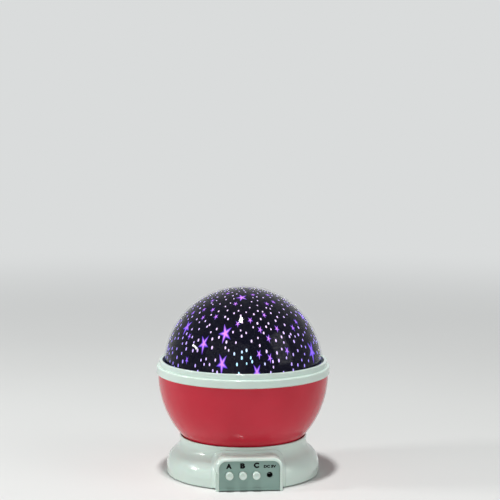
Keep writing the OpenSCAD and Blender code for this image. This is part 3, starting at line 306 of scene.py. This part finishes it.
# one leg lies on the block, one on the foot, and a quadratic curve joins them:
# p(t) = (1 - t)^2 A + 2 t (1 - t) corner + t^2 B, closed by a line sunk under the corner
def addFillet(look, material):
    half, top, corner, reach = (look[k] for k in ("blockHalf", "blockTop", "corner", "reach"))
    side = np.linspace(look["lowest"], top - corner, look["sidePoints"])
    a = np.radians(np.linspace(180, 90, look["cornerPoints"]))[1:]
    level = np.linspace(-half + corner, 0, look["topPoints"])[1:]
    # the block's outline and its outward direction, as x, z, nx and nz; the right half is mirrored
    left = np.stack(np.broadcast_arrays(-half, side, -1.0, 0.0), 1)
    turn = np.column_stack([-half + corner + corner * np.cos(a), top - corner + corner * np.sin(a),
                            np.cos(a), np.sin(a)])
    flat = np.stack(np.broadcast_arrays(level, top, 0.0, 1.0), 1)
    line = np.concatenate([left, turn, flat])
    line = np.concatenate([line, (line * [-1, 1, -1, 1])[-2::-1]])
    x, z, nx, nz = line.T
    crease = onFoot(x, z, look)
    onBlock = crease - [0, reach, 0]
    away = onFoot(x + reach * nx, z + reach * nz, look)
    t = np.linspace(0, 1, look["steps"] + 1)[:, None, None]
    curve = (1 - t) ** 2 * onBlock + 2 * t * (1 - t) * crease + t ** 2 * away
    inward = unit(np.column_stack([-nx, np.ones(len(x)), -nz])) * look["sunk"]
    closing = [away + inward, crease + inward, onBlock + inward]
    rows = np.concatenate([curve, closing]) * mm
    rings, n = rows.shape[:2]
    i, j = np.meshgrid(np.arange(rings), np.arange(n - 1), indexing="ij")
    after = (i + 1) % rings
    low, high = i * n + j, after * n + j
    quads = np.stack([low, low + 1, high + 1, high], -1).reshape(-1, 4)
    first = np.arange(rings) * n
    faces = quads.tolist() + [first.tolist(), (first + n - 1)[::-1].tolist()]
    return meshFrom("blockFillet", rows.reshape(-1, 3), faces, material)


fillet = addFillet(filletLook, whiteGloss)
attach(fillet, "root")
print("fillet done")

domeLook = {
    "wall": 1.2 * mm,
    "clearance": 0.06 * mm,     # between the shell and the printed film
    "flange": 1.2 * mm,
    "flangeEdge": 0.25 * mm,
    "steps": 72,
    "turnSteps": 192,
    "ior": 1.02,                # low, because the film under it carries the gloss
    "cover": 0.12,              # share of the light that the shell bends or reflects
    "tint": "#f6f7f9",
    "roughness": (0.03, 0.045),
    "flow": 40,                 # waves per metre
    "filmFlow": 90,
    "filmGrain": 60,
    "film": "#040408",
    "filmSheen": "#06060c",
    "leak": "#040314",          # light that comes through the print
    "filmRoughness": (0.03, 0.06),
    "filmGloss": 0.12,
}
domeLow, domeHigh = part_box("dome")
maskLow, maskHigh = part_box("star_mask")
filmR = maskHigh.x
innerR = filmR + domeLook["clearance"]
outerR = innerR + domeLook["wall"]
centre = np.array([0, 0, domeHigh.z - outerR])      # middle of the sphere


def clearPlastic(look):
    material, tree, shader = newMaterial("domeClear")
    shader.inputs["Base Color"].default_value = linear(look["tint"])
    shader.inputs["Transmission Weight"].default_value = 1.0
    shader.inputs["IOR"].default_value = look["ior"]
    shader.inputs["Alpha"].default_value = look["cover"]
    gloss = spread(tree, noiseFrom(tree, look["flow"]), *look["roughness"])
    tree.links.new(gloss, shader.inputs["Roughness"])
    return material


def blackFilm(look):
    material, tree, shader = newMaterial("printBlack")
    tones = twoTones(tree, noiseFrom(tree, look["filmFlow"], 3), look["film"], look["filmSheen"])
    tree.links.new(tones, shader.inputs["Base Color"])
    gloss = spread(tree, noiseFrom(tree, look["filmGrain"]), *look["filmRoughness"])
    tree.links.new(gloss, shader.inputs["Roughness"])
    shader.inputs["Specular IOR Level"].default_value = look["filmGloss"]
    shader.inputs["Emission Color"].default_value = linear(look["leak"])
    shader.inputs["Emission Strength"].default_value = 1.0
    return material


# faces that lie along the dome are shaded as a true sphere, the rest of the mesh stays flat
def shadeRound(mesh, along=0.9):
    count = np.zeros(len(mesh.polygons), int)
    mesh.polygons.foreach_get("loop_total", count)
    flat = np.zeros(len(mesh.polygons) * 3)
    mesh.polygons.foreach_get("normal", flat)
    flat = np.repeat(flat.reshape(-1, 3), count, 0)
    corner = np.zeros(len(mesh.loops), int)
    mesh.loops.foreach_get("vertex_index", corner)
    away = unit(pointsOf(mesh)[corner] - centre)
    facing = (flat * away).sum(1)[:, None]
    normals = np.where(abs(facing) > along, away * np.sign(facing), flat)
    mesh.polygons.foreach_set("use_smooth", np.ones(len(mesh.polygons), bool))
    mesh.normals_split_custom_set(normals.tolist())


# the printed film as one joined mesh
def filmShape():
    shape = bmesh.new()
    shape.from_mesh(nodes["star_mask"].data)
    bmesh.ops.remove_doubles(shape, verts=shape.verts, dist=0.002 * mm)
    return shape


# the printed film with its star openings
def addFilm(material):
    shape = filmShape()
    mesh = bpy.data.meshes.new("printedFilm")
    shape.to_mesh(mesh)
    shape.free()
    mesh.materials.clear()
    mesh.materials.append(material)
    shadeRound(mesh)
    piece = bpy.data.objects.new("printedFilm", mesh)
    bpy.context.scene.collection.objects.link(piece)
    return piece


# shell of the dome with its flange, from the pole outside, down, and back up inside
def domeSection(look):
    z, low, flangeR, edge = centre[2], domeLow.z, domeHigh.x, look["flangeEdge"]
    flangeTop = low + look["flange"]
    return np.concatenate([
        [(0, z + outerR)],
        arc((0, z), outerR, 90, 0, look["steps"])[1:],
        [(outerR, flangeTop), (flangeR - edge, flangeTop), (flangeR, flangeTop - edge),
         (flangeR, low + edge), (flangeR - edge, low), (innerR, low)],
        arc((0, z), innerR, 0, 90, look["steps"])[:-1],
        [(0, z + innerR)],
    ])[::-1]


dome = turned("domeShell", domeSection(domeLook), domeLook["turnSteps"], clearPlastic(domeLook))
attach(dome, "star_cover")
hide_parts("dome")
film = addFilm(blackFilm(domeLook))
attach(film, "star_cover")
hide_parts("star_mask")
print("dome done")

glowLook = {
    "star": ("#4c38e0", "#a070f6", "#f79cf0"),      # from far round the side to the front; painted light: pinker and brighter towards the front, where the LEDs show straight through
    "dot": ("#4a3cd2", "#a890f8", "#ecd2ff"),
    "stops": (0.1, 0.66, 0.94),
    "towards": (-0.08, -0.76, 0.64),
    "over": (-0.1, 1.0),        # cosines of the angle from there, for the colours above
    "lamp": "#b4e8ff",          # painted glint: cyan-white on the dots that face the front, where the LEDs show straight through them
    "glintTowards": (-0.06, -0.98, 0.16),
    "glintOver": (0.955, 0.99),
    "tip": "#6a48f0",           # towards a star's edge, and at the edge
    "tipOver": (0.25, 0.55),
    "rim": "#120c4a",
    "rimOver": (0.55, 0.95),
    "unlit": "#1a1030",
    "roughness": 0.05,
    "starStrength": 1.05,
    "dotStrength": 1.5,
    "top": 0.04 * mm,           # a star's plate below the film's face
    "thick": 0.26 * mm,
    "fill": 0.995,              # how much of its opening a plate fills
    "waist": 0.42,              # reach of the slim outline as a share of the opening's, by the
    "point": 0.95,              # middle and at the points
}


# a vector node on a source, and where it needs one, with a second fixed vector
def vectorNode(tree, operation, source, second=None):
    node = tree.nodes.new("ShaderNodeVectorMath")
    node.operation = operation
    if second is not None:
        node.inputs[1].default_value = second
    tree.links.new(source, node.inputs[0])
    return node


# light by direction from the middle of the sphere; a star's is mixed towards the colours of its
# tips and its rim by the "edge" attribute
def windowLight(name, look, kind):
    material, tree, shader = newMaterial(name)
    place = tree.nodes.new("ShaderNodeTexCoord")
    away = vectorNode(tree, "SUBTRACT", place.outputs["Object"], centre)
    heading = vectorNode(tree, "NORMALIZE", away.outputs[0])

    def facing(direction, over):
        dot = vectorNode(tree, "DOT_PRODUCT", heading.outputs[0], Vector(direction).normalized())
        return fitted(tree, dot.outputs["Value"], over)

    def mixed(factor, first, second):
        node = tree.nodes.new("ShaderNodeMix")
        node.data_type = "RGBA"
        tree.links.new(factor, node.inputs[0])
        tree.links.new(first, node.inputs[6])
        node.inputs[7].default_value = linear(second)
        return node.outputs[2]

    # painted light: the glow's colour is fixed by the window's direction on the dome, pinker and
    # brighter towards its front, not by where it is seen from
    colour = ramp(tree, facing(look["towards"], look["over"]),
                  [(at, linear(tone)) for at, tone in zip(look["stops"], look[kind])])
    # painted glint: the dots that face the front are mixed towards cyan-white
    if kind == "dot":
        colour = mixed(facing(look["glintTowards"], look["glintOver"]), colour, look["lamp"])
    else:
        edge = tree.nodes.new("ShaderNodeAttribute")
        edge.attribute_name = "edge"
        for tone in ("tip", "rim"):
            share = fitted(tree, edge.outputs["Fac"], look[tone + "Over"])
            colour = mixed(share, colour, look[tone])
    tree.links.new(colour, shader.inputs["Emission Color"])
    shader.inputs["Emission Strength"].default_value = look[kind + "Strength"]
    shader.inputs["Base Color"].default_value = linear(look["unlit"])
    shader.inputs["Roughness"].default_value = look["roughness"]
    shader.inputs["Specular IOR Level"].default_value = domeLook["filmGloss"]
    return material


# outlines of the film's openings on its outer face, each an ordered loop of unit directions: the
# edges between a face along the sphere and one across it, above the film's lower end
def openings(along=0.9, across=0.7, aboveEnd=0.5 * mm, fewest=8):
    shape = filmShape()
    middle = Vector(centre)

    def outward(face):
        return face.normal.dot((face.calc_center_median() - middle).normalized())

    def onRim(e):
        if len(e.link_faces) != 2 or e.verts[0].co.z <= maskLow.z + aboveEnd:
            return False
        sides = [outward(face) for face in e.link_faces]
        return max(sides) > along and min(map(abs, sides)) < across

    rim = [e for e in shape.edges if onRim(e)]
    beside = {}
    for e in rim:
        v, w = e.verts
        beside.setdefault(v.index, []).append(w.index)
        beside.setdefault(w.index, []).append(v.index)
    spots = {v.index: np.array(v.co) - centre for e in rim for v in e.verts}
    shape.free()
    loops, left = [], set(beside)
    while left:
        loop = [left.pop()]
        while True:
            step = [w for w in beside[loop[-1]] if w in left]
            if not step:
                break
            left.discard(step[0])
            loop.append(step[0])
        outline = unit(np.array([spots[v] for v in loop]))
        if len(loop) > fewest:
            turn = np.cross(outline, np.roll(outline, -1, 0)).sum(0) @ outline.mean(0)
            loops.append(outline if turn > 0 else outline[::-1])
    return loops


# each star: a fan from its middle to a slimmer outline, a band from that to the opening's own
# outline, a wall, and a plain fan on the inner side; "edge" is 0 in the middle, 0.5 on the slim
# outline and 1 at the rim
def addStars(look, loops, material):
    vertices, faces, edge, start = [], [], [], 0
    for outline in loops:
        k = len(outline)
        middle = unit(outline.mean(0))
        arm = outline - middle
        reach = np.linalg.norm(arm, axis=1)[:, None]
        pull = look["waist"] + (look["point"] - look["waist"]) * reach / reach.max()
        slim = middle + arm * pull
        rim = middle + arm * look["fill"]
        high = unit(np.concatenate([[middle], slim, rim]))
        low = unit(np.concatenate([[middle], rim]))
        vertices += [high * (filmR - look["top"]), low * (filmR - look["top"] - look["thick"])]
        edge += [[0.0], [0.5] * k, [1.0] * k, [0.0], [1.0] * k]
        s, after = np.arange(k) + 1, np.roll(np.arange(k), -1) + 1
        under = 2 * k + 1
        faces += (np.column_stack([np.zeros(k, int), s, after]) + start).tolist()
        faces += (np.column_stack([s, s + k, after + k, after]) + start).tolist()
        faces += (np.column_stack([s + k, s + under, after + under, after + k]) + start).tolist()
        faces += (np.column_stack([np.full(k, under), after + under, s + under]) + start).tolist()
        start += 3 * k + 2
    piece = meshFrom("windowStars", np.concatenate(vertices) + centre, faces, material)
    share = piece.data.attributes.new("edge", "FLOAT", "POINT")
    share.data.foreach_set("value", np.concatenate(edge))
    shadeRound(piece.data)
    print(len(loops), "stars")
    return piece


starLoops = openings()
stars = addStars(glowLook, starLoops, windowLight("starLight", glowLook, "star"))
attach(stars, "star_cover")

dotLook = {
    "count": 640,
    "size": (0.42 * mm, 0.62 * mm),
    "topShare": 0.8,            # size of the dots at the top, as a share of those at the side
    "spread": 0.75,             # how much the layout is stretched down the side
    "tall": 1.2,                # how much taller than wide the lowest ones are
    "clear": 0.85 * mm,         # least distance from a star's outline
    "inside": 0.5,              # and from its middle, as a share of its points' reach
    "apart": 1.7 * mm,          # least distance between two
    "jitter": 0.34,             # of the distance between neighbours
    "out": 0.02 * mm,
    "in": 0.1 * mm,
    "sides": 12,
    "lowest": 0.0,              # height angle of the lowest ones, in degrees
    "seed": 11,
    "turn": 137.508,            # from one to the next in degrees, the golden angle
    "samples": 400,             # of the film's stretch, from the top down
}


# sunflower spread on the flat film (distance from its middle = sqrt(share), turned by the golden
# angle), shaken, then drawn over the dome: along the side the film is stretched by
# 1 + spread cos^2(height)
def dotPlaces(look):
    rng = np.random.default_rng(look["seed"])
    height = np.radians(np.linspace(90, look["lowest"], look["samples"]))
    stretch = 1 + look["spread"] * np.cos(height) ** 2
    flat = np.concatenate([[0], np.cumsum(-np.diff(height) * 2 / (stretch[1:] + stretch[:-1]))])
    i = np.arange(look["count"]) + 0.5
    around = np.radians(i * look["turn"])
    spot = np.sqrt(i / look["count"])[:, None] * np.column_stack([np.cos(around), np.sin(around)])
    spot += rng.normal(0, look["jitter"] / math.sqrt(look["count"]), spot.shape)
    away = np.hypot(*spot.T)
    up = np.interp(away * flat[-1], flat, height)
    places = np.column_stack([np.cos(up)[:, None] * spot / away[:, None], np.sin(up)])
    size = rng.uniform(*look["size"], len(places))
    size *= look["topShare"] + (1 - look["topShare"]) * np.cos(up)
    return places[away < 1], size[away < 1]


# keeps places that lie on the film, clear of every star's outline and of each other
def clearPlaces(places, size, look, loops):
    outline = unit(np.concatenate([
        np.concatenate([loop, (loop + np.roll(loop, -1, 0)) / 2]) for loop in loops]))
    fromStar = np.arccos(np.clip(places @ outline.T, -1, 1)).min(1) * filmR
    middles = unit(np.array([loop.mean(0) for loop in loops]))
    reach = np.array([np.linalg.norm(loop - m, axis=1).max() for loop, m in zip(loops, middles)])
    fromMiddle = np.linalg.norm(places[:, None] - middles[None], axis=2)
    inside = (fromMiddle < reach[None] * look["inside"]).any(1)
    apart = np.linalg.norm(places[:, None] - places[None], axis=2) * filmR
    later = np.tril(np.ones(apart.shape, bool), -1)
    crowded = ((apart < look["apart"]) & later).any(1)
    keep = (fromStar > look["clear"] + size) & ~inside & ~crowded
    return places[keep], size[keep]


# a dot is a small oval plate: a middle and a rim above the film's face, and the same below it
def addDots(look, loops, material):
    places, size = clearPlaces(*dotPlaces(look), look, loops)
    n, k = len(places), look["sides"]
    east = unit(np.cross([0, 0, 1], places))
    north = np.cross(places, east)
    tall = size * (1 + look["tall"] * (1 - places[:, 2] ** 2))
    a = np.arange(k) * 2 * math.pi / k
    rim = unit(places[:, None] * filmR + east[:, None] * (size[:, None] * np.cos(a))[..., None]
               + north[:, None] * (tall[:, None] * np.sin(a))[..., None])
    high, low = filmR + look["out"], filmR - look["in"]
    middle = places[:, None]
    points = np.concatenate([middle * high, rim * high, middle * low, rim * low], 1)
    s, after = np.arange(k) + 1, np.roll(np.arange(k), -1) + 1
    fans = np.concatenate([np.column_stack([np.zeros(k, int), s, after]),
                           np.column_stack([np.zeros(k, int), after, s]) + k + 1])
    wall = np.column_stack([s, s + k + 1, after + k + 1, after])
    start = (np.arange(n) * (2 * k + 2))[:, None, None]
    faces = (fans + start).reshape(-1, 3).tolist() + (wall + start).reshape(-1, 4).tolist()
    piece = meshFrom("windowDots", points.reshape(-1, 3) + centre, faces, material)
    shadeRound(piece.data)
    print(n, "dots")
    return piece


dots = addDots(dotLook, starLoops, windowLight("dotLight", glowLook, "dot"))
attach(dots, "star_cover")

lampLook = {
    "glass": "#dfe4ff",
    "glow": ("#7a58f8", "#c8b8ff"),
    "grain": 300,
    "strength": 1.6,
    "roughness": 0.1,
    "clear": 0.3,               # share of the light that goes through
}


def lampLens(look):
    material, tree, shader = newMaterial("lampLens")
    shader.inputs["Base Color"].default_value = linear(look["glass"])
    shader.inputs["Roughness"].default_value = look["roughness"]
    shader.inputs["Transmission Weight"].default_value = look["clear"]
    glow = twoTones(tree, noiseFrom(tree, look["grain"], 1), *look["glow"])
    tree.links.new(glow, shader.inputs["Emission Color"])
    shader.inputs["Emission Strength"].default_value = look["strength"]
    return material


paint(lampLens(lampLook), "leds")
print("lamps done")

letterLook = {
    "ink": {"colour": "#0c0d0f", "shade": "#08090a", "roughness": (0.5, 0.65), "gloss": 0.12},
    "offset": 0.03,             # of the outline, as a share of the letters' size
    "thick": 0.04,              # from here on in millimetres
    "step": 0.006,              # between the four layers that make a word bold
    "sill": 0.4,                # the panel's lower ledge stands this far out of its face
    # words, middle x and z, width and height, and how far the layers stand to each side
    "marks": [
        ("A", -13.8, 17.35, 3.8, 3.7, 0.21),
        ("B", -4.6, 17.5, 3.4, 3.7, 0.21),
        ("C", 4.6, 17.75, 3.7, 3.8, 0.21),
        ("DC 5V", 13.6, 16.9, 8.3, 2.0, 0.12),
    ],
}


# words as raised ink: a filled outline, fitted to its width and height, and laid on the panel's
# face four times, a little to each side
def addLetters(look, material):
    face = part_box("control_panel")[0].y / mm + look["sill"]
    vertices, faces, start = [], [], 0
    for words, x, z, width, height, bold in look["marks"]:
        curve = bpy.data.curves.new("mark", "FONT")
        curve.body = words
        curve.offset = look["offset"]
        curve.extrude = 0.5     # fitted to the ink's thickness below
        text = bpy.data.objects.new("mark", curve)
        bpy.context.scene.collection.objects.link(text)
        bpy.context.view_layer.update()
        mesh = bpy.data.meshes.new_from_object(text)
        bpy.data.objects.remove(text)
        points = pointsOf(mesh)
        low, high = points.min(0), points.max(0)
        points = (points - (low + high) / 2) / (high - low)
        for layer, (aside, up) in enumerate([(-1, 0), (1, 0), (0, -1), (0, 1)]):
            vertices.append(np.column_stack([
                points[:, 0] * (width - 2 * bold) + x + aside * bold,
                face - points[:, 2] * look["thick"] - layer * look["step"],
                points[:, 1] * (height - 2 * bold) + z + up * bold]) * mm)
            faces += [[v + start for v in p.vertices] for p in mesh.polygons]
            start += len(points)
        bpy.data.meshes.remove(mesh)
    return meshFrom("panelLetters", np.concatenate(vertices), faces, material, smooth=False)


letters = addLetters(letterLook, moulded("letterInk", letterLook["ink"]))
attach(letters, "root")
print("letters done")

stageLook = {
    "colour": "#dcdddb", "shade": "#d8d9d7",
    "flow": 2,
    "roughness": 0.85,
    "gloss": 0.2,
    "radii": (0.3, 0.8, 2.0, 4.0, 9.0),
    "sides": 96,
    "fade": (0.25, 1.4),        # distances over which the floor goes over into the backdrop
    "backdrop": "#dadcdc",
}


def mathNode(tree, operation, first, second):
    node = tree.nodes.new("ShaderNodeMath")
    node.operation = operation
    tree.links.new(first, node.inputs[0])
    tree.links.new(second, node.inputs[1])
    return node.outputs[0]


def shaderMix(tree, share, first, second):
    node = tree.nodes.new("ShaderNodeMixShader")
    for source, socket in zip((share, first, second), node.inputs):
        tree.links.new(source, socket)
    return node.outputs[0]


# 1 for a ray that sees the backdrop: straight, in gloss or through clear plastic
def seenRays(tree):
    rays = tree.nodes.new("ShaderNodeLightPath").outputs
    glossy = mathNode(tree, "MAXIMUM", rays["Is Camera Ray"], rays["Is Glossy Ray"])
    return mathNode(tree, "MAXIMUM", glossy, rays["Is Transmission Ray"])


# round floor: rings of points (r cos a, r sin a, 0), fading into the backdrop with distance
def addStage(look):
    count, radii = look["sides"], np.array(look["radii"])
    a = np.arange(count) * 2 * math.pi / count
    rings = np.stack([np.outer(radii, np.cos(a)), np.outer(radii, np.sin(a)),
                      np.zeros((len(radii), count))], -1)
    i, j = np.meshgrid(np.arange(len(radii) - 1) * count, np.arange(count), indexing="ij")
    after = (j + 1) % count
    quads = np.stack([i + j, i + count + j, i + count + after, i + after], -1).reshape(-1, 4)
    faces = quads.tolist() + [list(range(count))]
    material, tree, shader = newMaterial("stagePaper")
    tones = twoTones(tree, noiseFrom(tree, look["flow"]), look["shade"], look["colour"])
    tree.links.new(tones, shader.inputs["Base Color"])
    shader.inputs["Roughness"].default_value = look["roughness"]
    shader.inputs["Specular IOR Level"].default_value = look["gloss"]
    place = tree.nodes.new("ShaderNodeTexCoord")
    apart = vectorNode(tree, "LENGTH", place.outputs["Object"])
    rise = fitted(tree, apart.outputs["Value"], look["fade"], blend="SMOOTHSTEP")
    glow = tree.nodes.new("ShaderNodeEmission")
    glow.inputs["Color"].default_value = linear(look["backdrop"])
    share = mathNode(tree, "MULTIPLY", seenRays(tree), rise)
    surface = shaderMix(tree, share, shader.outputs[0], glow.outputs[0])
    tree.links.new(surface, tree.nodes["Material Output"].inputs["Surface"])
    meshFrom("stage", rings.reshape(-1, 3), faces, material)


# grey light from all sides, with the pale backdrop where it is seen
def addWorld(light, look):
    world = bpy.data.worlds.new("world")
    world.use_nodes = True
    tree = world.node_tree
    lit = tree.nodes["Background"]
    lit.inputs["Color"].default_value = linear(light)
    seen = tree.nodes.new("ShaderNodeBackground")
    seen.inputs["Color"].default_value = linear(look["backdrop"])
    surface = shaderMix(tree, seenRays(tree), lit.outputs[0], seen.outputs[0])
    tree.links.new(surface, tree.nodes["World Output"].inputs["Surface"])
    bpy.context.scene.world = world


addStage(stageLook)

cameraLook = {
    "place": (-0.08965, -1.0757, 0.2784),
    "towards": (0.0866, 0.9898, -0.1127),
    "roll": 0.0036,             # in radians
    "lens": 113.4,
    "nearest": 0.01,
}
lightLook = {
    "aim": (0, 0, 0.065),       # the middle of the lamp
    "key": {"at": (-0.1, -0.3, 1.6), "size": (0.11, 0.26), "watts": 19},
    "side": {"at": (-1.3, -0.05, 0.6), "size": (0.06, 0.26), "watts": 7, "roll": 1.5},
    "front": {"at": (-0.9, -1.5, 0.75), "size": (2.2, 1.6), "watts": 6},
    "fill": {"at": (1.2, -0.7, 0.75), "size": (0.7, 1.1), "watts": 5},
    "world": "#6e7072",
}


def addCamera(look):
    data = bpy.data.cameras.new("camera")
    data.lens = look["lens"]
    data.clip_start = look["nearest"]
    camera = bpy.data.objects.new("camera", data)
    bpy.context.scene.collection.objects.link(camera)
    camera.location = look["place"]
    camera.rotation_euler = Vector(look["towards"]).to_track_quat("-Z", "Y").to_euler()
    camera.rotation_euler.rotate_axis("Z", look["roll"])
    bpy.context.scene.camera = camera


def addLight(name, look, aim):
    data = bpy.data.lights.new(name, "AREA")
    data.shape = "RECTANGLE"
    data.size, data.size_y = look["size"]
    data.energy = look["watts"]
    lamp = bpy.data.objects.new(name, data)
    bpy.context.scene.collection.objects.link(lamp)
    lamp.location = look["at"]
    lamp.rotation_euler = (Vector(aim) - Vector(look["at"])).to_track_quat("-Z", "Y").to_euler()
    lamp.rotation_euler.rotate_axis("Z", look.get("roll", 0))


addCamera(cameraLook)
for name in ("key", "side", "front", "fill"):
    addLight(name, lightLook[name], lightLook["aim"])
addWorld(lightLook["world"], stageLook)
bpy.context.scene.view_settings.view_transform = "Standard"
print("stage, camera and light done")
